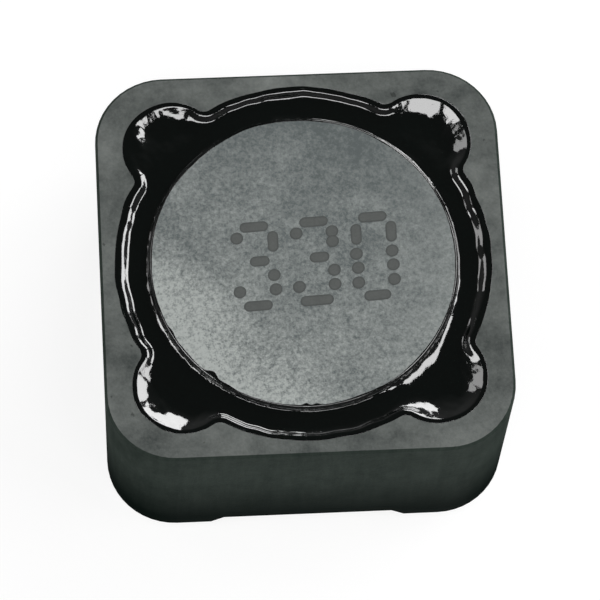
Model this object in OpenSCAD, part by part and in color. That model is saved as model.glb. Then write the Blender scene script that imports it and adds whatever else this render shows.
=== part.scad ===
// Shielded surface-mount power inductor. A wire-wound ferrite drum is bonded inside a square
// ferrite ring, and stands on a moulded base in two halves with a bent-strip terminal in each.
// Millimetres, +Z up, origin on the mounting plane under the middle of the part. The start
// terminal is on the +X side and the finish terminal on the -X side.

/* [Drum core] */
// Diameter of both flanges
flange_d = 9.4; // [8.8:0.1:10.4]
// Thickness of the top flange
top_flange_t = 1.1; // [0.8:0.05:1.5]
// Thickness of the bottom flange
bottom_flange_t = 0.9; // [0.7:0.05:1.3]
// Height of the winding space between the flanges
window_h = 3.88; // [2.8:0.02:5.2]
// Chamfer on the rims of the flanges
rim_chamfer = 0.08; // [0.04:0.01:0.15]

/* [Shield ring] */
// Gap between the flanges and the bore of the ring
moat_w = 0.8; // [0.6:0.05:1.1]
// Wall of the ring at the middle of each side
ring_wall = 0.65; // [0.5:0.05:1]
// Radius of the outer corners
ring_corner_r = 2.1; // [1.4:0.1:2.6]
// Radius of the four corner wells
well_r = 1.35; // [1.1:0.05:1.5]
// Wall between a corner well and the nearest sides
well_wall = 1.02; // [0.8:0.02:1.2]
// Rounding where a well runs into the bore
well_blend_r = 0.5; // [0.3:0.05:0.6]
// Chamfer round the mouth of the bore and the wells
mouth_chamfer = 0.16; // [0.08:0.02:0.24]
// Chamfer on the outer edges of the ring
edge_chamfer = 0.08; // [0.04:0.01:0.15]
// Height of the ring's feet above the mounting plane
foot_lift = 0.45; // [0.4:0.01:0.54]
// Depth of the recess between two feet
recess_h = 0.48; // [0.4:0.02:0.56]
// Width of the recess at its floor
recess_w = 5.2; // [4.6:0.1:5.6]

/* [Winding] */
// Diameter of the enamelled copper wire
wire_d = 0.45; // [0.35:0.01:0.52]
// Layers of wire on the post, an even number so that both leads come out at the bottom
layers = 4; // [2:2:6]
// Air between neighbouring turns, layers and flanges
lay_gap = 0.02; // [0.01:0.01:0.04]
// How far the outer layer stays inside the rims of the flanges
coil_inset = 0.15; // [0.1:0.01:0.4]

/* [Base] */
// How far the base stands out past the bottom flange
base_overhang = 0.25; // [0.1:0.05:0.35]
// Thickness of the base
base_t = 0.72; // [0.64:0.02:0.9]
// Bevel round the lower edge of the base
base_bevel = 0.35; // [0.2:0.05:0.4]
// Radius of the half-round notches in the edge of the base
notch_r = 0.28; // [0.2:0.02:0.34]
// Width of the slot between the two halves
slot_w = 1.8; // [1.4:0.1:2.2]
// Length of the cross arms of the slot, from end to end
cross_w = 4; // [3.2:0.1:4.6]
// Width of the cross arms
cross_h = 1.7; // [1.3:0.1:2.1]
// Rounding of the corners of the slot
slot_corner_r = 0.28; // [0.15:0.01:0.35]

/* [Terminals] */
// Thickness of the terminal strip
strip_t = 0.25; // [0.2:0.01:0.28]
// Radius on the inside of the strip's bends
bend_r = 0.08; // [0.05:0.01:0.1]
// Distance from the side of the ring in to the terminal's outer face
leg_inset = 0.4; // [0.3:0.05:0.5]
// Length of the pad, from the outer face to the inner bend
pad_l = 1.95; // [1.8:0.05:2.1]
// Gap between the terminal and the ends and floor of its recess
recess_gap = 0.1; // [0.08:0.01:0.16]
// Width of the window in the outer bend
eye_w = 0.86; // [0.6:0.02:1.1]
// Length of the window along the pad
eye_l = 1.07; // [0.8:0.02:1.2]
// Height of the tail that the pad's inner end sinks into the base
tail_h = 0.42; // [0.3:0.02:0.5]
// Depth of the notch that takes the end of the wire
wire_notch_l = 0.32; // [0.25:0.01:0.4]

/* [Resin and adhesive] */
// Depth of the potting resin in the moat
resin_h = 1; // [0.6:0.05:1.4]
// Depth of the hollow in the resin's surface
resin_dip = 0.22; // [0.1:0.02:0.3]
// How far the adhesive in the slot stays below the face of the base
glue_dip = 0.15; // [0.08:0.01:0.3]
// Gap kept between bonded curved faces
bond_gap = 0.02; // [0.01:0.005:0.03]

/* [Hidden] */
$fn = 96;
past = 1;                      // how far a cutter runs past the face that it opens
notch_bearings = [36, 53.5, 67];
pin_mark_at = 2.4;             // both offsets of the ejector pin's mark from the axis
pin_mark_r = 0.62;
pin_mark_h = 0.02;
eye_top = strip_t + 0.03;      // height of the window's upper edge in the leg
prong_grip = 0.55;             // how far a prong reaches inside the edge of the base
prong_step = 0.15;             // how far the opening between the prongs is wider than the window
wire_notch_in = 0.4;           // from the edge of the base in to the middle of the wire notch
solder_side = 0.1;             // solder on each side of the wire
solder_z = 0.06;               // height of the solder's lower face
pad_clear = 0.04;              // height of the wire's end above the mounting plane
well_gap = 0.1;                // from the wire coming down to the wall of its well
base_gap = 0.2;                // from that wire to the edge of the base
wire_seat = 0.04;              // air left round the wire in its solder
resin_edge = 0.1;              // how far the resin's edge lies under the top face
glue_setback = 0.55;           // from the edge of the base in to the end of the adhesive

// Levels, from the mounting plane up
base_z = strip_t;
drum_z = base_z + base_t;
window_z = drum_z + bottom_flange_t;
top_z = window_z + window_h + top_flange_t;
recess_z = foot_lift + recess_h;

// Plan sizes
flange_r = flange_d / 2;
bore_r = flange_r + moat_w;
ring_half = bore_r + ring_wall;
well_c = ring_half - well_wall - well_r;
base_r = flange_r + base_overhang;

// Terminals, and the end of the wire in its notch
term_half = recess_w / 2 - recess_gap;
leg_x = ring_half - leg_inset;         // outer face of the leg
pad_x = leg_x - pad_l;                 // inner face of the tail
leg_top = recess_z - recess_gap;
bend_outer_r = strip_t + bend_r;
prong_x = base_r - prong_grip;
prong_gap = eye_w / 2 + prong_step;    // half the distance between the two prongs
notch_x = base_r - wire_notch_in;
wire_notch_w = wire_d + 2 * solder_side;
wire_r = wire_d / 2;
tip_y = term_half - wire_notch_l + solder_side;
tip_z = pad_clear + wire_r;

// Centre of the rounding between the bore and the well beside it, from the two circles it touches
blend_from_bore = bore_r + well_blend_r;
blend_from_well = well_r + well_blend_r;
well_from_axis = well_c * sqrt(2);
blend_turn = acos((pow(blend_from_bore, 2) + pow(well_from_axis, 2) - pow(blend_from_well, 2))
                  / (2 * blend_from_bore * well_from_axis));

// ---------------------------------------------------------------- shield ring

// Closed prism of the bore and its four wells, wider by grow0 at the bottom and grow1 at the top
module bore_prism(z0, z1, grow0, grow1) {
  h = z1 - z0;
  translate([0, 0, z0]) {
    cylinder(h = h, r1 = bore_r + grow0, r2 = bore_r + grow1);
    for (corner = [45 : 90 : 315]) rotate(corner) {
      translate([well_from_axis, 0, 0]) cylinder(h = h, r1 = well_r + grow0, r2 = well_r + grow1);
      for (side = [-1, 1]) {
        blend = blend_from_bore * [cos(side * blend_turn), sin(side * blend_turn)];
        difference() {
          linear_extrude(h) polygon([[0, 0], [well_from_axis, 0], blend]);
          translate(blend) cylinder(h = h, r1 = well_blend_r - grow0, r2 = well_blend_r - grow1);
        }
      }
    }
  }
}

// Square prism with round corners that draws in by shrink towards its top
module rounded_block(h, shrink = 0) {
  core = ring_half - ring_corner_r;
  for (x = [-core, core], y = [-core, core])
    translate([x, y, 0]) cylinder(h = h, r1 = ring_corner_r, r2 = ring_corner_r - shrink);
  for (turn = [0, 90]) rotate([90, 0, turn])
    linear_extrude(2 * core, center = true)
      polygon([[-ring_half, 0], [ring_half, 0], [ring_half - shrink, h], [-ring_half + shrink, h]]);
}

// Recess between two feet: a flat floor with sides that slope out at 45 degrees
module recess_cut() {
  half = recess_w / 2;
  foot_half = half + recess_h + past;
  rotate([90, 0, 90]) linear_extrude(ring_half + past)
    polygon([[-half, recess_z], [half, recess_z],
             [foot_half, foot_lift - past], [-foot_half, foot_lift - past]]);
}

module shield_ring() {
  color([0.37, 0.37, 0.38]) difference() {
    union() {
      translate([0, 0, foot_lift + edge_chamfer]) mirror([0, 0, 1]) rounded_block(edge_chamfer, edge_chamfer);
      translate([0, 0, foot_lift + edge_chamfer]) rounded_block(top_z - foot_lift - 2 * edge_chamfer);
      translate([0, 0, top_z - edge_chamfer]) rounded_block(edge_chamfer, edge_chamfer);
    }
    bore_prism(foot_lift - past, top_z - mouth_chamfer, 0, 0);
    bore_prism(top_z - mouth_chamfer, top_z, 0, mouth_chamfer);
    for (side = [0 : 90 : 270]) rotate(side) recess_cut();
  }
}

// ---------------------------------------------------------------- drum core

module drum_core() {
  c = rim_chamfer;
  color([0.48, 0.48, 0.48]) rotate_extrude() polygon([
    [0, drum_z], [flange_r - c, drum_z], [flange_r, drum_z + c],
    [flange_r, window_z - c], [flange_r - c, window_z], [post_r, window_z],
    [post_r, window_z + window_h], [flange_r - c, window_z + window_h],
    [flange_r, window_z + window_h + c], [flange_r, top_z - c], [flange_r - c, top_z], [0, top_z]]);
}

// ---------------------------------------------------------------- winding

stations = 18;                 // points on one turn of the coil
step_a = 360 / stations;
wire_sides = 6;
climb = 3;                     // stations that the wire takes to climb to the next layer
start_a = 140;                 // bearing at which the first turn reaches the post
end_a = 200;                   // bearing at which the last turn leaves the coil, beside its well
chord = 1 / cos(step_a / 2);   // keeps the straight chords of a turn clear of what it wraps

// Layers from the outer one in. The post fills what they leave
layer_pitch = (wire_d + lay_gap) * chord;
first_layer_r = flange_r - coil_inset - wire_r - (layers - 1) * layer_pitch;
post_r = first_layer_r / chord - wire_r - lay_gap;
exit_cut = (climb * (layers - 1) - (end_a - start_a) / step_a + stations) % stations;
climb_h = window_h - wire_d - 2 * lay_gap;
turns = floor(climb_h / (wire_d + lay_gap));
turn_pitch = climb_h / turns;
z_low = window_z + lay_gap + wire_r;
z_high = z_low + climb_h;

function unit(v) = v / norm(v);
function mix(a, b, t) = a + (b - a) * t;
function polar(r, a, z) = [r * cos(a), r * sin(a), z];

function layer_r(k) = first_layer_r + k * layer_pitch;
function layer_steps(k) =
  (k == 0 ? turns : turns - 1) * stations - (k == layers - 1 ? exit_cut : 0);
function layer_start(k) = k == 0 ? 0 : layer_start(k - 1) + layer_steps(k - 1) + climb;
// The first layer starts on the flange. The others stay a turn above it, over the start lead
function layer_z(k, i) =
  k == 0 ? z_low + turn_pitch * i / stations :
  k % 2 == 1 ? z_high - turn_pitch * i / stations :
  z_low + turn_pitch * (1 + i / stations);

function coil_points() = [
  for (k = [0 : layers - 1]) each concat(
    [for (i = [0 : layer_steps(k)])
      polar(layer_r(k), start_a + step_a * (layer_start(k) + i), layer_z(k, i))],
    k == layers - 1 ? [] :
    [for (j = [1 : climb - 1])
      polar(mix(layer_r(k), layer_r(k + 1), j / climb),
            start_a + step_a * (layer_start(k) + layer_steps(k) + j), layer_z(k, layer_steps(k)))])];

// Where the wire comes down inside a well: close to the wall, clear of the base, on the side
// next to the terminal
down_r = well_r - wire_r - well_gap;
down_from_axis = base_r + wire_r + base_gap;
down_a = 45 - acos((pow(down_from_axis, 2) - pow(well_from_axis, 2) - pow(down_r, 2))
                   / (2 * well_from_axis * down_r));
down = [well_c, well_c] + down_r * [cos(down_a), sin(down_a)];

function at(xy, z) = [xy[0], xy[1], z];
// The stretch from the tip in the terminal's notch up into the well, the same for both leads
tail_points = [
  [notch_x, tip_y, tip_z],
  [notch_x, mix(tip_y, term_half, 0.9), tip_z],
  at(mix([notch_x, term_half], down, 0.5), tip_z + 0.09),
  at(mix([notch_x, term_half], down, 0.93), tip_z + 0.36),
  at(down, drum_z - 0.05)];

// Start lead: up the well, then round inside the flange's rim in to the post
lead_r = flange_r + wire_r + 0.28;
lead_a = 52;
start_lead = concat(tail_points, [
  at(down, z_low - 0.72),
  polar(lead_r + 0.15, 36, z_low - 0.3),
  polar(lead_r + 0.1, 42, z_low - 0.04),
  for (a = [lead_a : 14 : start_a - 14])
    polar(mix(lead_r, layer_r(0), pow(sin(90 * (a - lead_a) / (start_a - lead_a)), 1.1)), a, z_low)]);

// Finish lead: off the last turn, once round the opposite well, and down to the other terminal
end_z = layer_z(layers - 1, layer_steps(layers - 1));
loop_from = 215;
loop_steps = 6;
loop_low = drum_z + bottom_flange_t * 0.7;
finish_lead = [
  for (p = concat(
    [polar(layer_r(layers - 1) + 0.05, end_a - 168, end_z - 0.03)],
    [for (i = [0 : loop_steps - 1])
      let (t = i / loop_steps, turn = mix(loop_from, down_a, t))
      at([well_c, well_c] + (well_r - wire_r - mix(0.32, well_gap, t)) * [cos(turn), sin(turn)],
         mix(end_z - 0.05, loop_low, t))],
    [at(down, loop_low - 0.12)],
    [for (i = [len(tail_points) - 1 : -1 : 0]) tail_points[i]]))
  [-p[0], -p[1], p[2]]];

// Smooth curve through a list of points, with cuts points to each stretch
function curve(p, cuts) = [
  for (i = [0 : len(p) - 2], j = [0 : cuts - 1])
    let (a = p[max(i - 1, 0)], b = p[i], c = p[i + 1], d = p[min(i + 2, len(p) - 1)], t = j / cuts)
    0.5 * (2 * b + (c - a) * t + (2 * a - 5 * b + 4 * c - d) * t * t
           + (3 * b - a - 3 * c + d) * t * t * t)];

coil = coil_points();
wire_path = concat(
  curve(concat(start_lead, [coil[0]]), 3), coil,
  [for (p = curve(concat([coil[len(coil) - 1]], finish_lead), 3)) if (p != coil[len(coil) - 1]) p],
  [finish_lead[len(finish_lead) - 1]]);

// Tube along a path. Each ring of points is turned as little as the path allows
module tube(path, r, sides) {
  last = len(path) - 1;
  along = [for (i = [0 : last]) unit(path[min(i + 1, last)] - path[max(i - 1, 0)])];
  across = [for (i = 0, n = unit(cross(along[0], [1, 0, 0])); i <= last;
                 i = i + 1, n = i > last ? n : unit(n - (n * along[i]) * along[i])) n];
  points = [for (i = [0 : last], j = [0 : sides - 1])
    path[i] + r * (cos(360 * j / sides) * across[i]
                   + sin(360 * j / sides) * cross(along[i], across[i]))];
  walls = [for (i = [0 : last - 1], j = [0 : sides - 1])
    let (a = i * sides + j, b = i * sides + (j + 1) % sides)
    each [[a, a + sides, b], [b, a + sides, b + sides]]];
  start_cap = [for (j = [1 : sides - 2]) [0, j, j + 1]];
  end = last * sides;
  end_cap = [for (j = [1 : sides - 2]) [end, end + j + 1, end + j]];
  polyhedron(points, concat(walls, start_cap, end_cap));
}

module winding() {
  color([0.72, 0.38, 0.16]) tube(wire_path, wire_r, wire_sides);
}

// ---------------------------------------------------------------- base halves

// Outline of the cross-shaped slot, smaller by inset all round
module cross_outline(length, inset = 0) {
  half = slot_w / 2 - inset;
  arm_x = cross_w / 2 - inset;
  arm_y = cross_h / 2 - inset;
  outer_r = slot_corner_r - inset;
  inner_r = slot_corner_r + inset;
  square([2 * half, length], center = true);
  square([2 * (arm_x - outer_r), 2 * arm_y], center = true);
  square([2 * arm_x, 2 * (arm_y - outer_r)], center = true);
  for (x = [-1, 1], y = [-1, 1]) {
    translate([x * (arm_x - outer_r), y * (arm_y - outer_r)]) circle(outer_r);
    translate([x * (half + inner_r / 2), y * (arm_y + inner_r / 2)]) difference() {
      square(inner_r, center = true);
      translate([x * inner_r / 2, y * inner_r / 2]) circle(inner_r);
    }
  }
}

// Box that takes one prong of a terminal's upper arm, wider by seat all round
module prong_box(side, seat) {
  w = term_half - prong_gap;
  translate([prong_x - seat, side * (prong_gap + w / 2) - w / 2 - seat, leg_top - strip_t - seat])
    cube([base_r, w + 2 * seat, strip_t + 2 * seat]);
}

// One half of the base, on the +X side, with the seats of its terminal
module base_half() {
  seat = bond_gap;
  difference() {
    intersection() {
      union() {
        translate([0, 0, base_z]) cylinder(h = base_bevel, r1 = base_r - base_bevel, r2 = base_r);
        translate([0, 0, base_z + base_bevel]) cylinder(h = base_t - base_bevel, r = base_r);
      }
      translate([0, -base_r, base_z]) cube([base_r, 2 * base_r, base_t]);
    }
    translate([0, 0, base_z - past]) linear_extrude(base_t + 2 * past) cross_outline(2 * base_r + past);
    for (a = notch_bearings, side = [-1, 1]) rotate(side * a)
      translate([base_r, 0, base_z - past]) cylinder(h = base_t + 2 * past, r = notch_r);
    // Pocket for the tail of the pad, wider at its mouth to clear the bend
    for (pocket = [[strip_t + seat, tail_h + seat], [bend_outer_r, bend_r]])
      translate([pad_x - seat, -term_half - seat, base_z - past])
        cube([pocket[0] + seat, 2 * (term_half + seat), past + pocket[1]]);
    for (side = [-1, 1]) prong_box(side, seat);
  }
}

module base_half_start() { color([0.93, 0.92, 0.87]) base_half(); }

// The finish half carries the round mark that an ejector pin left in its face
module base_half_finish() {
  color([0.93, 0.92, 0.87]) rotate(180) difference() {
    base_half();
    translate([pin_mark_at, pin_mark_at, base_z - past]) cylinder(h = past + pin_mark_h, r = pin_mark_r);
  }
}

// ---------------------------------------------------------------- terminals

// Quarter of a bend in the strip, on the side of its centre that towards points to
module bend(centre, towards) {
  translate(centre) intersection() {
    difference() {
      circle(bend_outer_r);
      circle(bend_r);
    }
    translate(towards * bend_outer_r / 2) square(bend_outer_r, center = true);
  }
}

// Side view of the strip, from its tail in the base round to the arm above the pad
module strip_outline() {
  outer = bend_outer_r;
  translate([pad_x, outer]) square([strip_t, base_z + tail_h - outer]);
  bend([pad_x + outer, outer], [-1, -1]);
  translate([pad_x + outer, 0]) square([pad_l - 2 * outer, strip_t]);
  bend([leg_x - outer, outer], [1, -1]);
  translate([leg_x - strip_t, outer]) square([strip_t, leg_top - 2 * outer]);
  bend([leg_x - outer, leg_top - outer], [1, 1]);
  translate([prong_x, leg_top - strip_t]) square([leg_x - outer - prong_x, strip_t]);
}

// One terminal, on the +X side
module terminal() {
  color([0.80, 0.80, 0.77]) difference() {
    rotate([90, 0, 0]) linear_extrude(2 * term_half, center = true) strip_outline();
    // Window through the pad and the foot of the leg
    translate([leg_x - eye_l, -eye_w / 2, -past]) cube([eye_l + past, eye_w, past + eye_top]);
    // Opening that parts the upper arm into two prongs
    translate([prong_x - past, -prong_gap, leg_top - bend_outer_r])
      cube([leg_x - strip_t - prong_x + past, 2 * prong_gap, bend_outer_r + past]);
    // Notch for the end of the wire
    translate([notch_x - wire_notch_w / 2, term_half - wire_notch_l, -past])
      cube([wire_notch_w, wire_notch_l + past, strip_t + 2 * past]);
  }
}

module terminal_start() { terminal(); }
module terminal_finish() { rotate(180) terminal(); }

// ---------------------------------------------------------------- solder

// Solder round the end of the wire, in the notch of the terminal on the +X side
module solder() {
  color([0.84, 0.84, 0.82]) difference() {
    translate([notch_x - wire_notch_w / 2 + bond_gap, term_half - wire_notch_l + bond_gap, solder_z])
      cube([wire_notch_w - 2 * bond_gap, wire_notch_l - bond_gap, strip_t - solder_z]);
    translate([notch_x, tip_y - wire_seat, tip_z]) rotate([-90, 0, 0])
      cylinder(h = wire_notch_l, r = wire_r + wire_seat);
  }
}

module solder_start() { solder(); }
module solder_finish() { rotate(180) solder(); }

// ---------------------------------------------------------------- resin and adhesive

module top_resin() {
  face = top_z - resin_edge;
  rim_w = 0.05;                          // flat rim along each wall
  moat_r = (flange_r + bore_r) / 2;      // middle of the moat
  moat_hollow_r = hollow_r(moat_w / 2 - rim_w, resin_dip);
  well_hollow_r = hollow_r(well_r - rim_w, resin_dip);
  color([0.03, 0.03, 0.03]) difference() {
    bore_prism(top_z - resin_h, face, -bond_gap, -bond_gap);
    translate([0, 0, top_z - resin_h - past]) cylinder(h = resin_h + past, r = flange_r + bond_gap);
    // The surface sinks between the two walls that it wets, and in the middle of each well
    rotate_extrude() translate([moat_r, face - resin_dip + moat_hollow_r]) circle(moat_hollow_r);
    for (corner = [45 : 90 : 315]) rotate(corner)
      translate([well_from_axis, 0, face - resin_dip + well_hollow_r]) sphere(well_hollow_r);
  }
}

// Radius of the circle that sinks by dip across a chord of twice half
function hollow_r(half, dip) = (half * half + dip * dip) / (2 * dip);

module base_adhesive() {
  color([0.08, 0.08, 0.09]) translate([0, 0, base_z + glue_dip])
    linear_extrude(base_t - glue_dip) cross_outline(2 * (base_r - glue_setback), bond_gap);
}

shield_ring();
drum_core();
winding();
base_half_start();
base_half_finish();
terminal_start();
terminal_finish();
solder_start();
solder_finish();
top_resin();
base_adhesive();
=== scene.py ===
"""Looks of a shielded surface-mount power inductor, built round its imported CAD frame.

The part stands on its two tinned pads with the numbered face of the drum up. Sizes are in
millimetres and are turned to metres by MM where a mesh is made. Only the floor and the lamps are
given in metres.
"""
import math
import random

import bpy
import numpy as np
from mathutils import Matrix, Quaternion, Vector


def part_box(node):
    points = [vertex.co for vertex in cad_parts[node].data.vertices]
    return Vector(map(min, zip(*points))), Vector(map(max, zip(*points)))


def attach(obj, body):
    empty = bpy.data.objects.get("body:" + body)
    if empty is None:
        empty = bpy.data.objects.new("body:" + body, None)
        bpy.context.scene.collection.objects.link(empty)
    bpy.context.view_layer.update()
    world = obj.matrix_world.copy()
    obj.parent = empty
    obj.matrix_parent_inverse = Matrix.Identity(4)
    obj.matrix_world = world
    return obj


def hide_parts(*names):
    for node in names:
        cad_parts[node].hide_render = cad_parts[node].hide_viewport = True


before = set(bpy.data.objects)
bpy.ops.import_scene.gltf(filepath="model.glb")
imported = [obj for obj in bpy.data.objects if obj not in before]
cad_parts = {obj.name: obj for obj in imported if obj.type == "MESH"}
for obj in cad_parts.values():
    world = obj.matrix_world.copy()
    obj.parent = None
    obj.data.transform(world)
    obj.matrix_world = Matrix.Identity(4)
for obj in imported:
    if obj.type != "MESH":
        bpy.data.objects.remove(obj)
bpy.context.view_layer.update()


# ---------------------------------------------------------------- drum core
# The drum is a softer pressed ferrite, turned like a bobbin. Its top face is lapped, so that the
# grain of the ceramic shows as fine pale and dark specks. It is bonded inside the ring by the
# resin on top and by the adhesive in the base below.

MM = 0.001                     # a millimetre in metres


class Value:
    """A socket in a node tree, so that shader maths reads as plain sums."""

    def __init__(self, tree, socket=None):
        self.tree, self.socket = tree, socket

    def node(self, kind, settings=None, inputs=None, output=0):
        """A node of this kind. Its settings are made first, then its sockets are filled."""
        made = self.tree.nodes.new(kind)
        for name, setting in (settings or {}).items():
            setattr(made, name, setting)
        for name, value in (inputs or {}).items():
            if isinstance(value, Value):
                self.tree.links.new(value.socket, made.inputs[name])
            else:
                made.inputs[name].default_value = value
        return Value(self.tree, made.outputs[output])

    def maths(self, operation, *values, clamp=False):
        """A Math node on these values, which name this one too where it takes part."""
        return self.node("ShaderNodeMath", {"operation": operation, "use_clamp": clamp},
                         dict(enumerate(values)))

    def __add__(self, other): return self.maths("ADD", self, other)
    def __sub__(self, other): return self.maths("SUBTRACT", self, other)
    def __mul__(self, other): return self.maths("MULTIPLY", self, other)
    def __truediv__(self, other): return self.maths("DIVIDE", self, other)
    def __radd__(self, other): return self.maths("ADD", other, self)
    def __rsub__(self, other): return self.maths("SUBTRACT", other, self)
    def __rmul__(self, other): return self.maths("MULTIPLY", other, self)

    def above(self, edge, soft):
        """0 below the edge and 1 above it, over a band soft wide."""
        return self.maths("ADD", (self - edge) / soft, 0.5, clamp=True)

    def noise(self, scale, detail=3.0, rough=0.55, distort=0.0):
        """Noise with about scale lumps to the millimetre, from 0 to 1 with a mean near a half."""
        return self.node("ShaderNodeTexNoise", None,
                         {"Vector": self, "Scale": scale / MM, "Detail": detail,
                          "Roughness": rough, "Distortion": distort})

    def blend(self, low, high):
        """The colour low where this is 0 and high where it is 1."""
        low, high = [c if isinstance(c, Value) else (*c, 1) for c in (low, high)]
        return self.node("ShaderNodeMix", {"data_type": "RGBA"}, {0: self, 6: low, 7: high}, 2)

    def bump(self, height, strength):
        """Normals of a surface raised by this, times height in millimetres."""
        return self.node("ShaderNodeBump", None,
                         {"Height": self, "Distance": height * MM, "Strength": strength})


def shade(red, green, blue):
    """A colour that shows as these levels out of 255."""
    tones = [level / 255 for level in (red, green, blue)]
    return tuple(t / 12.92 if t <= 0.04045 else ((t + 0.055) / 1.055) ** 2.4 for t in tones)


def finish(name):
    """A new empty material, its place on the object, and the shader's sockets."""
    material = bpy.data.materials.new(name)
    material.use_nodes = True
    tree = material.node_tree
    shader = tree.nodes["Principled BSDF"]
    place = Value(tree).node("ShaderNodeTexCoord", output=3)
    return material, place, shader.inputs


def connect(sockets, **values):
    """Fill a shader's sockets, named with _ for a space, from values or links."""
    for name, value in values.items():
        socket = sockets[name.replace("_", " ")]
        if isinstance(value, Value):
            value.tree.links.new(value.socket, socket)
        else:
            socket.default_value = (*value, 1) if isinstance(value, tuple) else value


def along_axis(place, axis):
    """How far a point is along axis 0, 1 or 2, in millimetres."""
    return place.node("ShaderNodeSeparateXYZ", None, {"Vector": place}, axis) / MM


def dress(node, material):
    """Give a CAD node this material."""
    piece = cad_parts[node]
    piece.data.materials.clear()
    piece.data.materials.append(material)


drum_low, drum_high = [Vector(corner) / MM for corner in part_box("drum_core")]
flange_r = drum_high.x
top_z = drum_high.z

drum_finish, place, sockets = finish("lapped_ferrite")
across, along, height = [along_axis(place, axis) for axis in (0, 1, 2)]
lapped = height.above(top_z - 0.04, 0.03)
patches = place.noise(0.45, 3, 0.5)
coarse = place.noise(1.9, 4, 0.62)
mottle = place.noise(4.5, 3, 0.7)
grain = place.noise(9, 4, 0.7)
fine = place.noise(24, 2, 0.6)
# The face is paler towards the front left, and its grain shows more there
paler_front_left = (across * -0.06 + along * -0.09 + patches * 0.6).above(0.42, 1.15)
corner = (across * -0.5 + along * -0.5 + patches * 0.6).above(2.8, 2.2)
right_side = (across * 0.3).above(0.9, 0.8)
cloudy = patches * 0.4 + coarse * 0.45 + mottle * 0.25 - 0.55
speckle = (grain * 0.7 + fine * 0.3 - 0.5) * (paler_front_left * 2.2 + corner * 2.4 + 0.8)
face_tone = paler_front_left * 0.46 + corner * 0.64 + right_side * 0.24 + 0.07 + cloudy + speckle
lapped_tone = face_tone.blend(shade(92, 99, 99), shade(178, 183, 180))
fired_tone = grain.blend(shade(56, 59, 58), shade(84, 87, 85))
connect(sockets,
        Base_Color=lapped.blend(fired_tone, lapped_tone),
        Roughness=0.55 + grain * 0.2,
        Normal=(grain * 0.6 + fine * 0.4).bump(0.02, 0.5),
        Specular_IOR_Level=0.3)
dress("drum_core", drum_finish)


# ---------------------------------------------------------------- winding
# Enamelled copper wire, wound on the post of the drum in four layers. Its ends come past the rim of
# the lower flange, down through opposite wells and into the notches of the terminals, where the
# enamel is burnt off and the copper is tinned.

wire_r = 0.225
layers, turns = 4, 7           # the first layer has all its turns, and the others one less
stations, climb = 18, 3        # points to a turn, and points that lead up to the next layer
exit_cut = 6                   # points that the last layer is short of whole turns
first_layer_r, layer_pitch = 2.893, 0.4773
turn_pitch = 0.4843
z_low = 2.115                  # height of the lowest turn
z_high = z_low + turns * turn_pitch
start_bearing, end_bearing = 140, 200
well_c, well_r = 3.78, 1.35    # both offsets of the first well's axis, and its radius
well_gap = 0.1                 # from the wire coming down to the wall of its well
down_bearing = -48.7           # where that wire is, seen from the axis of the well
notch_x, notch_y = 4.55, 2.5   # the open end of the wire notch, at the end of the pad
tip_y, tip_z = 2.28, 0.265     # the cut end of the wire in its notch
lead_in_end, lead_out_start = 52, 215   # bearings at which the two leads leave their wells
spiral_step = 14               # degrees between the points of the first lead's spiral
lead_clear = 0.28              # from the first lead to the rim of the flange
loop_low = 1.6                 # height at which the last lead stops turning in its well
loop_steps = 6


def polar(radius, bearing, height):
    """A point from its distance from the axis, its bearing in degrees and its height."""
    turn = math.radians(bearing)
    return Vector((radius * math.cos(turn), radius * math.sin(turn), height))


def in_well(reach, bearing, height):
    """A point of the first well, from its distance from the well's own axis and its bearing."""
    return polar(reach, bearing, height) + Vector((well_c, well_c, 0))


coil = []
for layer in range(layers):
    last = layer == layers - 1
    steps = (turns if layer == 0 else turns - 1) * stations - (exit_cut if last else 0)
    for i in range(steps + (1 if last else climb)):
        rise = turn_pitch * min(i, steps) / stations
        level = z_high - rise if layer % 2 else z_low + rise + (turn_pitch if layer else 0)
        shift = layer + max(0, i - steps) / climb
        bearing = start_bearing + 360 / stations * len(coil)
        coil.append(polar(first_layer_r + shift * layer_pitch, bearing, level))

down = in_well(well_r - wire_r - well_gap, down_bearing, 0)
notch = Vector((notch_x, notch_y, 0))
# From the notch of the terminal up to the level of the drum's lower flange
tail = [Vector((notch_x, tip_y, tip_z)),
        Vector((notch_x, tip_y + (notch_y - tip_y) * 0.9, tip_z)),
        notch.lerp(down, 0.5) + Vector((0, 0, tip_z + 0.09)),
        notch.lerp(down, 0.93) + Vector((0, 0, tip_z + 0.36)),
        down + Vector((0, 0, drum_low.z - 0.05))]

# The first lead climbs its well and runs in to the post in a spiral
lead_r = flange_r + wire_r + lead_clear
start_lead = tail + [down + Vector((0, 0, z_low - 0.72)),
                     polar(lead_r + 0.15, 36, z_low - 0.3), polar(lead_r + 0.1, 42, z_low - 0.04)]
for bearing in range(lead_in_end, start_bearing - spiral_step + 1, spiral_step):
    share = (bearing - lead_in_end) / (start_bearing - lead_in_end)
    closer = math.sin(math.radians(90 * share)) ** 1.1
    start_lead.append(polar(lead_r + (first_layer_r - lead_r) * closer, bearing, z_low))

# The last lead leaves the coil by the opposite well and turns round its wall on the way down. It
# is laid out in the first well, and then turned half round the drum.
end_z = coil[-1].z
finish_lead = [polar(coil[-1].xy.length + 0.05, end_bearing - 180 + 12, end_z - 0.03)]
for i in range(loop_steps):
    t = i / loop_steps
    finish_lead.append(in_well(well_r - wire_r - 0.32 + 0.22 * t,
                               lead_out_start + (down_bearing - lead_out_start) * t,
                               end_z - 0.05 + (loop_low - end_z + 0.05) * t))
finish_lead += [down + Vector((0, 0, loop_low - 0.12))] + tail[::-1]
finish_lead = [Vector((-point.x, -point.y, point.z)) for point in finish_lead]

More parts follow.
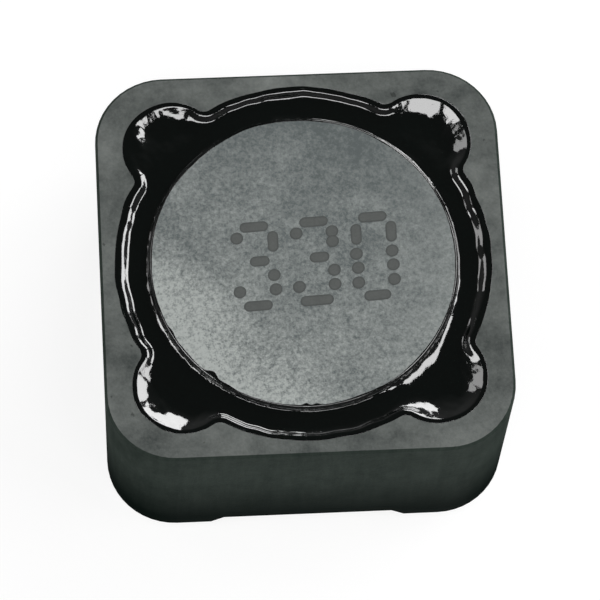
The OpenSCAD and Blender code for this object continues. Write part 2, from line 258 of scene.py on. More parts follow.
# A smooth line through all the points, with three steps between each two
knots = start_lead + coil + finish_lead
wire_line = []
for a, b, c, d in zip([knots[0]] + knots, knots, knots[1:], knots[2:] + [knots[-1]]):
    for t in (0, 1 / 3, 2 / 3):
        wire_line.append((2 * b + (c - a) * t + (2 * a - 5 * b + 4 * c - d) * t ** 2
                          + (3 * b - a - 3 * c + d) * t ** 3) / 2)
wire_line.append(knots[-1])


def only(piece):
    """Select this piece alone and make it active."""
    bpy.ops.object.select_all(action="DESELECT")
    piece.select_set(True)
    bpy.context.view_layer.objects.active = piece


def settle(piece, name, material, slot, *nodes):
    """Name a finished piece, put its place into its mesh, and tie it to the frame, where it takes
    the place of the CAD nodes that are named."""
    only(piece)
    bpy.ops.object.transform_apply(location=True, rotation=True, scale=True)
    piece.name = piece.data.name = name
    piece.data.materials.clear()
    piece.data.materials.append(material)
    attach(piece, "root")
    if nodes:
        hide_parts(*nodes)


bpy.ops.object.select_all(action="DESELECT")
bpy.ops.curve.primitive_nurbs_path_add(location=(0, 0, 0))
wire = bpy.context.object
wire.data.splines.clear()
spline = wire.data.splines.new("POLY")
spline.points.add(len(wire_line) - 1)
for point, place in zip(spline.points, wire_line):
    point.co = (*(place * MM), 1)
wire.data.bevel_depth = wire_r * MM
wire.data.bevel_resolution = 4
wire.data.use_fill_caps = True
bpy.ops.object.convert(target="MESH")
wire = bpy.context.object
bpy.ops.object.mode_set(mode="EDIT")
bpy.ops.mesh.select_all(action="SELECT")
bpy.ops.mesh.remove_doubles(threshold=1e-7)
bpy.ops.mesh.normals_make_consistent(inside=False)
bpy.ops.object.mode_set(mode="OBJECT")
bpy.ops.object.shade_smooth_by_angle(angle=math.radians(50))

wire_finish, place, sockets = finish("enamelled_copper")
bared = 1 - along_axis(place, 2).above(0.38, 0.12)
drawn = place.noise(3, 3, 0.6)
enamel = drawn.blend(shade(178, 92, 40), shade(216, 132, 70))
tinned = drawn.blend(shade(158, 150, 136), shade(200, 196, 186))
connect(sockets,
        Base_Color=bared.blend(enamel, tinned),
        Roughness=0.2 + drawn * 0.1 + bared * 0.1,
        Normal=(place.noise(5, 2) * 0.6 + place.noise(18, 2) * 0.4).bump(0.01, 0.5),
        Metallic=1.0, Coat_Weight=0.6 - bared * 0.6, Coat_Roughness=0.05,
        Coat_Tint=(1.0, 0.62, 0.36))
settle(wire, "copper_winding", wire_finish, "copper_wire", "winding")


# ---------------------------------------------------------------- base halves
# The base is moulded in two halves of white glass-filled nylon, with a cross-shaped slot between
# them. Its lower face carries a faint grid of dimples from the mould, painted a little darker as
# painted shade in their hollows, and its bevelled rim is painted darker and yellower as painted
# shade. The notches in the rim let the wire past.

base_low, base_high = [Vector(corner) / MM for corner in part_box("base_half_start")]
base_r = base_high.x
moulded_edge, bend_angle = 0.025, 30   # rounding of the edges, and degrees past which one is sharp
dimple_pitch = 0.5


def soften(node, name, width, edge):
    """A copy of a CAD node with every edge sharper than this many degrees rounded over."""
    piece = bpy.data.objects.new(name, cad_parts[node].data.copy())
    bpy.context.scene.collection.objects.link(piece)
    only(piece)
    bpy.ops.object.mode_set(mode="EDIT")
    bpy.ops.mesh.select_all(action="SELECT")
    bpy.ops.mesh.remove_doubles(threshold=1e-7)
    bpy.ops.mesh.dissolve_limited(angle_limit=math.radians(0.5))
    bpy.ops.object.mode_set(mode="OBJECT")
    rounding = piece.modifiers.new("rounding", "BEVEL")
    rounding.width = width * MM
    rounding.segments = 3
    rounding.limit_method = "ANGLE"
    rounding.angle_limit = math.radians(edge)
    rounding.miter_outer = "MITER_ARC"
    bpy.ops.object.modifier_apply(modifier="rounding")
    bpy.ops.object.shade_smooth_by_angle(angle=math.radians(edge))
    return piece


def facing(place):
    """How much a surface faces straight up or down, from 0 to 1."""
    normal = place.node("ShaderNodeNewGeometry", output=1)
    upward = place.node("ShaderNodeSeparateXYZ", None, {"Vector": normal}, 2)
    return place.maths("ABSOLUTE", upward)


base_finish, place, sockets = finish("glass_filled_nylon")
face = facing(place).above(0.93, 0.08)
cells = [place.maths("FRACT", along_axis(place, axis) / dimple_pitch) - 0.5 for axis in (0, 1)]
from_middle = place.maths("SQRT", cells[0] * cells[0] + cells[1] * cells[1])
dimple_and_shade = (1 - from_middle.above(0.2, 0.18)) * face
fibres = place.noise(9, 3, 0.7)
cloud = place.noise(0.8, 4, 0.6)
# The dimples are painted a little darker, as painted shade in their hollows
lower_tone = cloud * 0.7 + fibres * 0.5 - dimple_and_shade * 0.12
lower_tone = lower_tone.blend(shade(224, 223, 214), shade(246, 246, 240))
# The bevelled rim is painted darker and yellower than the lower face, as painted shade
shaded_rim_tone = (cloud * 0.6 + fibres * 0.5).blend(shade(176, 166, 138), shade(214, 206, 182))
connect(sockets,
        Base_Color=face.blend(shaded_rim_tone, lower_tone),
        Roughness=0.42 + fibres * 0.2,
        Normal=(fibres * 0.25 - dimple_and_shade * 1.0).bump(0.02, 0.7),
        Specular_IOR_Level=0.4)
for node, name in (("base_half_start", "base_half_right"), ("base_half_finish", "base_half_left")):
    settle(soften(node, name, moulded_edge, bend_angle), name, base_finish, "base_plastic", node)


# ---------------------------------------------------------------- base adhesive
# Black epoxy is run into the slot and holds the two halves to the drum. It shrinks as it cures and
# leaves a glassy, folded skin, which climbs the walls of the slot and stops short of its ends.

slot_half, arm_x, arm_y = 0.9, 2.0, 0.85   # half the slot's width, and the reach of its arms
adhesive_z = base_low.z + 0.17
overlap = 0.05                 # how far its edge runs on behind the walls
climb_h, climb_w = 0.12, 0.1   # how far it climbs the walls, and over what width
end_w = 0.16                   # width of the slope at its two ends


class Ripple:
    """Smooth random relief over the plane, the same on every run."""

    def __init__(self, seed, size, waves=28):
        rng = np.random.default_rng(seed)
        ways = rng.uniform(0, 2 * math.pi, waves)
        pitch = 2 * math.pi / size * rng.uniform(0.55, 1.5, waves)
        self.pull = np.stack([np.cos(ways), np.sin(ways)]) * pitch
        self.shift = rng.uniform(0, 2 * math.pi, waves)

    def __call__(self, places):
        return np.sin(places @ self.pull + self.shift).sum(-1) / math.sqrt(len(self.shift) / 2)


grid_x, grid_y = 2.1, 4.9
bpy.ops.object.select_all(action="DESELECT")
bpy.ops.mesh.primitive_grid_add(x_subdivisions=100, y_subdivisions=230, size=1, location=(0, 0, 0))
adhesive = bpy.context.object
flat = np.empty(len(adhesive.data.vertices) * 3)
adhesive.data.vertices.foreach_get("co", flat)
flat = flat.reshape(-1, 3) * (2 * grid_x, 2 * grid_y, 0)
side, run = np.abs(flat[:, 0]), np.abs(flat[:, 1])
slot_end = base_r - 0.52 + 0.36 * np.clip(side / slot_half, 0, 1) ** 5
to_wall = np.maximum(slot_half - side, np.minimum(arm_x - side, arm_y - run))
to_edge = np.where(run > arm_y, np.minimum(to_wall, slot_end - run), to_wall)


def fold(places, start, end, width):
    """1 along the line from start to end, and 0 further off than about width."""
    start, end = np.array(start), np.array(end)
    along = np.clip(((places - start) @ (end - start)) / ((end - start) @ (end - start)), 0, 1)
    off = places - start - along[:, None] * (end - start)
    return np.exp(-(off ** 2).sum(1) / width ** 2)


# The folds of its skin: from where, to where, how wide and how high
fold_lines = [((0.1, 2.9), (-0.6, 1.0), 0.24, 0.10), ((0.1, 2.9), (0.6, 1.3), 0.2, 0.09),
              ((-0.3, 0.6), (0.4, -3.7), 0.28, 0.13), ((-1.5, 0.4), (-0.9, -0.3), 0.25, 0.08),
              ((1.2, 0.3), (1.7, -0.2), 0.25, 0.07)]
plan = flat[:, :2]
folds = Ripple(41, 2.0)(plan * (1.7, 0.8)) * 0.04 + Ripple(42, 0.9)(plan * (1.4, 0.8)) * 0.012
for start, end, width, rise in fold_lines:
    folds -= rise * fold(plan, start, end, width)
skin = adhesive_z + (folds + 0.03) * np.clip(to_wall / 0.35, 0, 1)
skin -= climb_h * np.exp(-np.clip(to_wall, 0, None) / climb_w)
skin += (drum_low.z - 0.02 - skin) * np.exp(-(np.clip(slot_end - run, 0, None) / end_w) ** 2)
flat[:, 2] = np.clip(skin, base_low.z + 0.02, drum_low.z - 0.01)
adhesive.data.vertices.foreach_set("co", (flat * MM).ravel())
# What lies outside the cross is cut away, and the rest is drawn up to the drum
bpy.ops.object.mode_set(mode="EDIT")
bpy.ops.mesh.select_mode(type="FACE")
bpy.ops.mesh.select_all(action="DESELECT")
bpy.ops.object.mode_set(mode="OBJECT")
for polygon in adhesive.data.polygons:
    polygon.select = bool(min(to_edge[i] for i in polygon.vertices) < -overlap)
bpy.ops.object.mode_set(mode="EDIT")
bpy.ops.mesh.delete(type="FACE")
bpy.ops.mesh.select_all(action="SELECT")
bpy.ops.mesh.extrude_region_move(TRANSFORM_OT_translate={"value": (0, 0, MM)})
bpy.ops.transform.resize(value=(1, 1, 0), center_override=(0, 0, (drum_low.z + 0.01) * MM))
bpy.ops.mesh.select_all(action="SELECT")
bpy.ops.mesh.normals_make_consistent(inside=False)
bpy.ops.object.mode_set(mode="OBJECT")
bpy.ops.object.shade_smooth_by_angle(angle=math.radians(50))

adhesive_finish, place, sockets = finish("slot_epoxy")
clouded = place.noise(1.4, 4, 0.6)
pricks = place.noise(12, 2, 0.6)
connect(sockets,
        Base_Color=clouded.blend(shade(20, 21, 24), shade(52, 51, 58)),
        Roughness=0.08 + clouded * 0.1,
        Normal=(place.noise(2.2, 3, 0.6, 0.5) * 0.8 + pricks * 0.2).bump(0.03, 0.5),
        IOR=1.6, Coat_Weight=1.0, Coat_Roughness=0.05, Coat_IOR=1.7)
settle(adhesive, "slot_adhesive", adhesive_finish, "slot_adhesive", "base_adhesive")


# ---------------------------------------------------------------- terminals
# Each terminal is a strip of bronze, hot-dipped in tin and bent round the base: a flat pad below, a
# leg up the side and two prongs that grip the base. The tin lies a little unevenly and is scuffed
# where the parts have rubbed in their tray.

tinned_edge = 0.03

tin_finish, place, sockets = finish("tinned_bronze")
dipped = place.noise(1.3, 3, 0.55)
drawn_out = place.node("ShaderNodeMapping", None, {"Vector": place, "Scale": (1.0, 0.16, 1.0)})
brushed = drawn_out.noise(9, 3, 0.6)
stains = place.noise(2.4, 4, 0.65).above(0.66, 0.12)
specks = place.noise(13, 2, 0.6).above(0.74, 0.05)
tin_tone = (dipped * 0.7 + brushed * 0.5).blend(shade(188, 187, 178), shade(232, 231, 222))
tin_tone = (stains * 0.5).blend(tin_tone, shade(150, 138, 104))
connect(sockets,
        Base_Color=(specks * 0.8).blend(tin_tone, shade(74, 70, 60)),
        Roughness=0.24 + brushed * 0.22 + specks * 0.3,
        Metallic=1.0 - specks * 0.6,
        Normal=(dipped * 0.75 + brushed * 0.18 + specks * -0.07).bump(0.05, 0.55))
for node, name in (("terminal_start", "terminal_right"), ("terminal_finish", "terminal_left")):
    settle(soften(node, name, tinned_edge, bend_angle), name, tin_finish, "tinned_strip", node)


# ---------------------------------------------------------------- solder
# A drop of solder holds each end of the wire in its notch. It wets the tin and the wire, so that it
# is drawn out thin over the strip and up round the wire, and it is level with the pad below.

drop_wide, drop_long, drop_high, drop_deep = 0.29, 0.22, 0.3, 0.28   # half sizes, up and down
drop_z, drop_floor = 0.26, 0.012   # height of its widest part and of its flat underside

solder_finish, place, sockets = finish("solder")
frost = place.noise(6, 3, 0.6)
connect(sockets,
        Base_Color=frost.blend(shade(182, 182, 178), shade(228, 228, 224)),
        Roughness=0.2 + frost * 0.2, Metallic=1.0,
        Normal=(frost * 0.5 + place.noise(1.8, 2) * 0.5).bump(0.02, 0.5))

for turned, name, node in ((1, "solder_drop_right", "solder_start"),
                           (-1, "solder_drop_left", "solder_finish")):
    bpy.ops.object.select_all(action="DESELECT")
    bpy.ops.mesh.primitive_ico_sphere_add(subdivisions=5, radius=1, location=(0, 0, 0))
    drop = bpy.context.object
    for vertex in drop.data.vertices:
        out = vertex.co.copy()
        lumps = 1 + 0.05 * math.sin(5 * out.x + 2 * turned) + 0.05 * math.sin(6 * out.y - 4 * out.z)
        spread = 1 + 0.35 * math.exp(-(out.z / 0.3) ** 2)       # drawn out over the strip
        x = notch_x + out.x * drop_wide * spread * lumps
        y = tip_y + 0.08 + out.y * drop_long * lumps * (1 + 0.2 * (spread - 1))
        z = drop_z + out.z * (drop_high if out.z > 0 else drop_deep) * lumps
        vertex.co = Vector((turned * x, turned * y, max(drop_floor, z))) * MM
    bpy.ops.object.mode_set(mode="EDIT")
    bpy.ops.mesh.select_all(action="SELECT")
    bpy.ops.mesh.normals_make_consistent(inside=False)
    bpy.ops.object.mode_set(mode="OBJECT")
    bpy.ops.object.shade_smooth()
    settle(drop, name, solder_finish, "solder", node)


# ---------------------------------------------------------------- shield ring
# The square outer ring is pressed and fired ferrite, a dense dark ceramic. Its top face is ground
# flat, which leaves it a lighter, faintly streaked grey. The sides keep the darker fired skin,
# painted darker still as painted shade and most of all towards the feet, and its feet stand a
# little above the board, beside the base.

ring_low = Vector(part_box("shield_ring")[0]) / MM

ring_finish, place, sockets = finish("pressed_ferrite")
height = along_axis(place, 2)
flat_face = facing(place).above(0.9, 0.1)
grinding = place.node("ShaderNodeMapping", None, {"Vector": place, "Scale": (0.35, 1.0, 1.0),
                                                  "Rotation": (0, 0, math.radians(24))})
streaks = grinding.noise(0.55, 4)
cloud = place.noise(0.9, 5, 0.6)
blotches = place.noise(2.2, 4, 0.65)
grain = place.noise(11, 2, 0.7)
flat_tone = streaks * 1.1 + cloud * 1.0 + blotches * 0.5 + grain * 0.4 - 1.0
flat_tone = flat_tone.blend(shade(54, 59, 58), shade(128, 132, 129))
pressing = place.node("ShaderNodeMapping", None, {"Vector": place, "Scale": (1.0, 1.0, 0.12)})
die_marks = pressing.noise(3.5, 4, 0.6)
# The sides keep their darker fired skin, and their colour is darkened further as painted shade
skin_and_shade_tone = cloud * 0.7 + die_marks * 0.7 + grain * 0.5 + blotches * 0.4 - 0.65
skin_and_shade_tone = skin_and_shade_tone.blend(shade(38, 47, 43), shade(68, 76, 71))
foot_shade_mask = 1 - height.above(ring_low.z + 2.4, 3.4)       # painted shade, darkest towards the feet
skin_and_shade_tone = (foot_shade_mask * 0.95).blend(skin_and_shade_tone, shade(2, 14, 10))
chips = place.noise(3.1, 2, 0.5).above(0.75, 0.03)
connect(sockets,
        Base_Color=flat_face.blend(skin_and_shade_tone, (chips * 0.5).blend(flat_tone, shade(34, 36, 35))),
        Roughness=0.62 - flat_face * 0.1 + grain * 0.12,
        Normal=(grain * 0.5 + place.noise(26, 2) * 0.2 + die_marks * 0.3).bump(0.02, 0.8),
        Specular_IOR_Level=0.01)
dress("shield_ring", ring_finish)


# ---------------------------------------------------------------- potting resin
# Black epoxy fills the moat between the drum and the ring and the top of the four wells. It wets
# every wall that it meets, so that it creeps up over their chamfers, and it sets with a glassy,
# slightly wrinkled skin that sags into the wells.

moat_w = 0.8
bore_r = flange_r + moat_w
well_from_axis = 5.3457        # from the drum's axis to the axis of each well
blend_r = 0.5                  # rounding where a well runs into the bore
mouth_chamfer = 0.16           # chamfer round the mouth of the bore and the wells
rim_chamfer = 0.08             # chamfer on the rim of the drum
resin_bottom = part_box("top_resin")[0][2] / MM
film_t = 0.004                 # resin that lies over the edges of the drum and the ring
bearings, steps = 1080, 44     # points round the moat, and rows across it

blend_from_axis = bore_r + blend_r
blend_from_well = well_r + blend_r
blend_turn = math.acos((blend_from_axis ** 2 + well_from_axis ** 2 - blend_from_well ** 2)
                       / (2 * blend_from_axis * well_from_axis))
blend_centre = Vector((math.cos(blend_turn), math.sin(blend_turn))) * blend_from_axis
well_centre = Vector((well_from_axis, 0))
blend_end = well_centre + (blend_centre - well_centre) * well_r / blend_from_well
blend_end_turn = math.atan2(blend_end.y, blend_end.x)


def wall_r(bearing):
    """How far the wall of the bore and its wells is from the axis at this bearing in radians."""
    turn = abs(bearing % (math.pi / 2) - math.pi / 4)
    if turn > blend_turn:
        return bore_r
    if turn > blend_end_turn:
        across = blend_from_axis * math.sin(blend_turn - turn)
        return (blend_from_axis * math.cos(blend_turn - turn)
                - math.sqrt(max(0, blend_r ** 2 - across ** 2)))
    return (well_from_axis * math.cos(turn)
            + math.sqrt(well_r ** 2 - (well_from_axis * math.sin(turn)) ** 2))


angles = np.arange(bearings) * 2 * math.pi / bearings
outward = np.stack([np.cos(angles), np.sin(angles)], 1)
wall = outward * np.array([wall_r(a) for a in angles])[:, None]
along_wall = np.roll(wall, -1, 0) - np.roll(wall, 1, 0)
out_of_wall = np.stack([along_wall[:, 1], -along_wall[:, 0]], 1)
out_of_wall /= np.linalg.norm(out_of_wall, axis=1)[:, None]
mouth = wall + out_of_wall * mouth_chamfer
mouth_turn = np.arctan2(mouth[:, 1], mouth[:, 0]) % (2 * math.pi)
in_order = np.argsort(mouth_turn)
mouth_r = np.interp(angles, mouth_turn[in_order], np.linalg.norm(mouth, axis=1)[in_order],
                    period=2 * math.pi)


# How far the resin creeps in over the edge of the drum and out over the edge of the ring. Five
# spots on the drum, given by bearing, reach and width, hold more of it.
drum_rim = outward * flange_r
creep = Ripple(11, 2.2)(drum_rim) * 0.009 + Ripple(12, 0.6)(drum_rim) * 0.003
creep_in = 0.035 + np.clip(creep, -0.025, 0.03)
for bearing, reach, width in ((230, 0.15, 0.2), (236, 0.05, 0.35), (268, 0.07, 0.1),
                              (272, 0.05, 0.12), (207, 0.04, 0.2)):
    spot = np.array(polar(flange_r, bearing, 0).xy)
    creep_in += reach * np.exp(-((drum_rim - spot) ** 2).sum(-1) / width ** 2)
creep_out = 0.045 + np.clip(Ripple(13, 1.2)(outward * bore_r) * 0.01, -0.03, 0.03)
edge_in = flange_r - rim_chamfer - creep_in
edge_out = mouth_r + creep_out

across = np.linspace(0, 1, steps)
across = across - np.sin(2 * math.pi * across) * 0.1     # closer rows near both walls
rows = edge_in[None, :] + (edge_out - edge_in)[None, :] * across[:, None]
flat = outward[None] * rows[..., None]

outer_line = (outward * edge_out[:, None])[None, ::2]
from_ring = np.stack([np.sqrt(((row[:, None] - outer_line) ** 2).sum(-1)).min(1) for row in flat])
from_drum = rows - edge_in[None]
# How far a place belongs to a well and not to the moat
well_share = np.clip((rows - bore_r + 0.5) / 1.1, 0, 1)
well_share = well_share * well_share * (3 - 2 * well_share)


def slide(distance, slope, reach):
    """A fall that starts with this slope and has levelled out at this reach."""
    t = np.clip(distance / reach, 0, 1)
    return slope * reach * (t - t ** 3 + t ** 4 / 2)


def beside(bearing, width):
    """1 at this bearing in degrees, and 0 further off than about this width."""
    off = (np.degrees(angles)[None] - bearing + 180) % 360 - 180
    return np.exp(-(off / width) ** 2)


# Beside the ring the resin stays level for the width of the film and then rolls over into the
# moat, more gently at the left and the right. In a well it slides down evenly, and the back left
# well is nearly full. It climbs the rim of the drum, and is drawn down most at the front right.
film_w = 0.16 + Ripple(27, 0.8)(outward * bore_r)[None] * 0.008
roll_w = 0.13 + 0.16 * np.cos(angles)[None] ** 2
drawn_down, full = beside(316, 11), beside(147, 11)
moat_depth = 0.18 + 0.26 * drawn_down
well_slope, well_reach = 0.57 - 0.44 * full, 1.1
gentle = np.clip(beside(208, 24) + beside(326, 20), 0, 1)
rim_climb = 0.05 + 0.11 * gentle + 0.3 * drawn_down + Ripple(26, 0.6)(drum_rim)[None] * 0.008

roll = np.clip((from_ring - film_w) / roll_w, 0, 1)
moat_sag = moat_depth * roll * roll * (3 - 2 * roll)
well_sag = slide(np.clip(from_ring - 0.8 * film_w, 0, None), well_slope, well_reach)
sag = (moat_sag * (1 - well_share) + well_sag * well_share) * (1 - np.exp(-from_drum / rim_climb))
moat_relief = Ripple(21, 2.4)(flat) * 0.012 + Ripple(22, 0.9)(flat) * 0.004
well_relief = Ripple(23, 1.1)(flat) * 0.010 + Ripple(24, 0.35)(flat) * 0.003
calm = np.clip(from_ring / 0.35, 0, 1) * np.clip(from_drum / 0.3, 0, 1)
surface = top_z + film_t - sag + (moat_relief + well_relief * well_share) * calm
# Over both chamfers it is never thinner than a film
over_drum = top_z + film_t - np.clip(rows - (flange_r - rim_chamfer), 0, rim_chamfer) * 0.85
over_ring = top_z + film_t - np.clip(from_ring - creep_out[None], 0, mouth_chamfer) * 0.85
near_ring = from_ring < mouth_chamfer + 0.03
surface = np.where(rows < flange_r, np.maximum(surface, over_drum), surface)
surface = np.where(near_ring, np.maximum(surface, over_ring), surface)

# Its section: a thin edge on the drum, the surface, a thin edge on the ring, and the body that
# fills the moat below
loops = [(outward * (edge_in + 0.03)[:, None], top_z - 0.03), (outward * edge_in[:, None], top_z)]
loops += list(zip(flat, surface))
loops += [(outward * edge_out[:, None], top_z), (outward * (mouth_r - 0.02)[:, None], top_z - 0.04),
          (wall * 0.9985, top_z - mouth_chamfer - 0.02),
          (wall * 0.9985, resin_bottom), (outward * (flange_r + 0.02), resin_bottom),
          (outward * (flange_r + 0.02), top_z - rim_chamfer - 0.03)]

bpy.ops.object.select_all(action="DESELECT")
bpy.ops.mesh.primitive_circle_add(vertices=bearings, radius=flange_r * MM)
resin = bpy.context.object
bpy.ops.object.mode_set(mode="EDIT")
bpy.ops.mesh.select_mode(type="EDGE")
bpy.ops.mesh.select_all(action="SELECT")
for loop in loops[1:]:
    bpy.ops.mesh.extrude_edges_move(TRANSFORM_OT_translate={"value": (0, 0, MM)})
bpy.ops.object.mode_set(mode="OBJECT")
places = np.concatenate([np.column_stack([plan, np.broadcast_to(level, bearings)])
                         for plan, level in loops])
resin.data.vertices.foreach_set("co", (places * MM).ravel())
resin.data.update()
bpy.ops.object.mode_set(mode="EDIT")
bpy.ops.mesh.select_all(action="DESELECT")
bpy.ops.mesh.select_non_manifold()
bpy.ops.mesh.bridge_edge_loops()
bpy.ops.mesh.select_all(action="SELECT")
bpy.ops.mesh.normals_make_consistent(inside=False)
bpy.ops.object.mode_set(mode="OBJECT")
bpy.ops.object.shade_smooth()

resin_finish, place, sockets = finish("black_epoxy")
wrinkle = place.noise(2.6, 3, 0.6, 0.6)
skin = place.noise(9, 2, 0.6)
connect(sockets,
        Base_Color=skin.blend(shade(4, 7, 6), shade(10, 15, 13)),
        Roughness=0.04 + skin * 0.05,
        Normal=(wrinkle * 0.6 + skin * 0.4).bump(0.025, 0.45),
        IOR=1.7, Coat_Weight=1.0, Coat_Roughness=0.03, Coat_IOR=1.8)
settle(resin, "moat_resin", resin_finish, "potting_resin", "top_resin")


# ---------------------------------------------------------------- printed number
# The value is printed on the drum by an ink jet, as dots of dark grey ink. Dots of a row run
# together into bars, and dots above each other stay apart. A drop dries thicker at its rim, so
# its middle is a little lighter.

dot_d, bar_w = 0.39, 0.33
column_step, digit_step = 0.27, 1.80
row_depths = [0, 0.33, 0.67, 1.13, 1.59, 2.06, 2.53]
ink_t, ink_step = 0.002, 0.0003   # height of the first dot's ink, and what each later one adds
dry_rim = 0.07                 # width of the thick rim of a drop
number_at = (0.36, 0.12)
number_climb = 0.048           # how much each line rises along its length
# Each digit's strokes, from the column and row of one dot to those of another
digit_three = [[(1, 0), (3, 0)], [(0, 1)], [(4, 1), (4, 2)], [(2, 3), (3, 3)], [(4, 4)], [(4, 5)],
               [(0, 5)], [(1, 6), (3, 6)]]
digit_three_split = [[(1, 0), (3, 0)], [(0, 1)], [(4, 1)], [(4, 2)], [(2, 3), (3, 3)], [(4, 4)],
                     [(4, 5)], [(0, 5)], [(0.7, 6), (3.2, 6)]]
digit_zero = [[(1, 0), (3, 0)], [(0, 1), (0, 2)], [(0, 3)], [(0, 4)], [(0, 5)], [(4, 1), (4, 2)],
              [(4, 3)], [(4, 4)], [(4, 5)], [(1.1, 6), (2.9, 6)]]

ink_finish, place, sockets = finish("marking_ink")
rim = place.node("ShaderNodeAttribute", {"attribute_name": "rim"}, output=2)
blot = place.noise(3.0, 3, 0.6) * 0.5 + place.noise(14, 2) * 0.5
connect(sockets,
        Base_Color=(rim * 0.55 + blot * 0.9 - 0.3).blend(shade(96, 99, 97), shade(58, 62, 61)),
        Roughness=0.5 + blot * 0.15,
        Normal=place.noise(20, 2).bump(0.006, 0.5))

random.seed(3)
number_dots = []
for column, digit in enumerate([digit_three, digit_three_split, digit_zero]):
    for stroke in digit:
        ends = [Vector((column_step * (x - 2), row_depths[3] - row_depths[y], 0))
                for x, y in stroke]
        ink_r = (dot_d if len(stroke) == 1 else bar_w) / 2
        bpy.ops.object.select_all(action="DESELECT")
        bpy.ops.mesh.primitive_circle_add(vertices=32, radius=ink_r, fill_type="NGON",
                                          location=(0, 0, 0))
        dot = bpy.context.object
        bpy.ops.object.mode_set(mode="EDIT")
        bpy.ops.mesh.inset(thickness=dry_rim)
        bpy.ops.object.mode_set(mode="OBJECT")
        rim_mark = dot.data.attributes.new("rim", "FLOAT", "POINT")
        along = ends[-1] - ends[0]
        shift = Vector(((column - 1) * digit_step + random.uniform(-0.02, 0.02),
                        random.uniform(-0.015, 0.015), ink_t + ink_step * len(number_dots)))
        for vertex in dot.data.vertices:
            rim_mark.data[vertex.index].value = 1.0 if vertex.co.length > ink_r - 0.03 else 0.25
            vertex.co += shift + (ends[-1] if vertex.co.dot(along) > 1e-6 else ends[0])
            vertex.co.y += vertex.co.x * number_climb
        number_dots.append(dot)
only(number_dots[0])
for dot in number_dots:
    dot.select_set(True)
bpy.ops.object.join()
number = bpy.context.object
bpy.ops.object.mode_set(mode="EDIT")
bpy.ops.mesh.select_all(action="SELECT")
bpy.ops.mesh.normals_make_consistent(inside=False)
bpy.ops.object.mode_set(mode="OBJECT")
number.scale = (MM, MM, MM)
number.location = (number_at[0] * MM, number_at[1] * MM, top_z * MM)
settle(number, "printed_number", ink_finish, "drum_ferrite")


# ---------------------------------------------------------------- studio
# The part stands on a white sheet in a dim room. Soft lamps all round it draw the bright lines and
# crescents on the resin, and three low ones light the underside.

floor_half = 0.6
bpy.ops.object.select_all(action="DESELECT")
bpy.ops.mesh.primitive_plane_add(size=2 * floor_half, location=(0, 0, 0))
floor = bpy.context.object
floor.name = floor.data.name = "studio_floor"
paper = bpy.data.materials.new("white_paper")
paper.use_nodes = True
tree = paper.node_tree
tree.nodes.remove(tree.nodes["Principled BSDF"])
seen, glossy, travelled = [Value(tree).node("ShaderNodeLightPath", output=i) for i in (0, 3, 7)]
behind = Value(tree).node("ShaderNodeNewGeometry", output=6)
# The underside doesn't mirror the sheet that it stands on, so that it can be seen from below
mirror_from, mirror_over = 2.2, 0.6   # how far off the sheet has to be, and over what band
mirrored = glossy * (travelled / MM).above(mirror_from, mirror_over)
sheet = seen.node("ShaderNodeBsdfDiffuse", None, {"Color": (0.3, 0.3, 0.3, 1)})
glow = seen.node("ShaderNodeEmission", None, {"Color": (1, 1, 1, 1), "Strength": 0.8})
lit_sheet = seen.node("ShaderNodeAddShader", None, {0: sheet, 1: glow})
clear = seen.node("ShaderNodeBsdfTransparent")
shown = seen.maths("MAXIMUM", seen, mirrored) * (1 - behind)
paper_mix = shown.node("ShaderNodeMixShader", None, {0: shown, 1: clear, 2: lit_sheet})
tree.links.new(paper_mix.socket, tree.nodes["Material Output"].inputs["Surface"])
floor.data.materials.append(paper)

world = bpy.data.worlds.new("studio_room")
bpy.context.scene.world = world
world.use_nodes = True
tree = world.node_tree
seen, glossy = [Value(tree).node("ShaderNodeLightPath", output=i) for i in (0, 3)]
direction = seen.node("ShaderNodeTexCoord", output=0)
up = seen.node("ShaderNodeSeparateXYZ", None, {"Vector": direction}, 2)
# The room is dim, darkest overhead and straight below, and brighter just under the horizon
room = 0.22 - glossy * 0.13
room = room - up.above(0.5, 0.7) * (room - 0.02) + (1 - up.above(-0.1, 0.2)) * 0.5
room = room - (1 - up.above(-0.8, 0.3)) * 0.56
strength = seen.maths("MULTIPLY_ADD", seen, 1.0 - room, room)
background = tree.nodes["Background"]
background.inputs["Color"].default_value = (1, 1, 1, 1)
tree.links.new(strength.socket, background.inputs["Strength"])


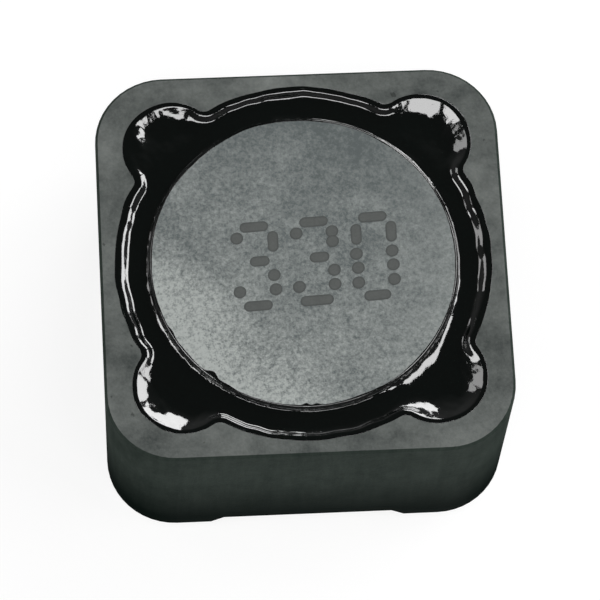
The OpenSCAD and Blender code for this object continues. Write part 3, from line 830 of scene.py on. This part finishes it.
def heading(azimuth, elevation):
    """The direction at this azimuth and elevation, in degrees. Azimuth 0 is the front and 90 the
    right."""
    turn, rise = math.radians(azimuth), math.radians(elevation)
    level = math.cos(rise)
    return Vector((math.sin(turn) * level, -math.cos(turn) * level, math.sin(rise)))


def lamp(name, azimuth, elevation, width, height, radiance, distance=0.16):
    """A soft lamp that faces the part from this direction. Its sizes are in metres."""
    aim = heading(azimuth, elevation)
    light = bpy.data.lights.new(name, "AREA")
    light.shape = "RECTANGLE"
    light.size, light.size_y = width, height
    light.energy = radiance * math.pi * width * height
    lamp_object = bpy.data.objects.new(name, light)
    bpy.context.scene.collection.objects.link(lamp_object)
    lamp_object.location = aim * distance + Vector((0, 0, top_z * MM))
    lamp_object.rotation_euler = aim.to_track_quat("Z", "Y").to_euler()


lamp("front_lamp", 0, 60, 0.12, 0.05, 3.9)
lamp("right_lamp", 112, 30, 0.085, 0.06, 4.6)
lamp("back_lamp", 154, 24, 0.1, 0.055, 5)
lamp("left_lamp", -118, 35, 0.05, 0.06, 1.7)
lamp("left_front_lamp", -76, 46, 0.085, 0.045, 4.2)
lamp("right_front_lamp", 74, 48, 0.08, 0.045, 4.2)
lamp("lower_lamp", 20, -55, 0.06, 0.04, 9)
lamp("lower_back_lamp", 170, -72, 0.025, 0.04, 8)
lamp("lower_left_lamp", -130, -35, 0.04, 0.06, 8)

# The camera looks down steeply from a little to the left, turned slightly about its own axis
toward, view_roll = heading(-8.1, 69.9), math.radians(5.4)
view_distance = 130
camera = bpy.data.cameras.new("camera")
camera.sensor_width = 36
camera.lens = 252
camera.clip_start = 0.01
camera.clip_end = 10
camera_object = bpy.data.objects.new("camera", camera)
bpy.context.scene.collection.objects.link(camera_object)
camera_object.location = (Vector((0, 0, top_z / 2)) + toward * view_distance) * MM
camera_object.rotation_mode = "QUATERNION"
camera_object.rotation_quaternion = (toward.to_track_quat("Z", "Y")
                                     @ Quaternion((0, 0, 1), view_roll))
bpy.context.scene.camera = camera_object
bpy.context.scene.view_settings.view_transform = "Standard"
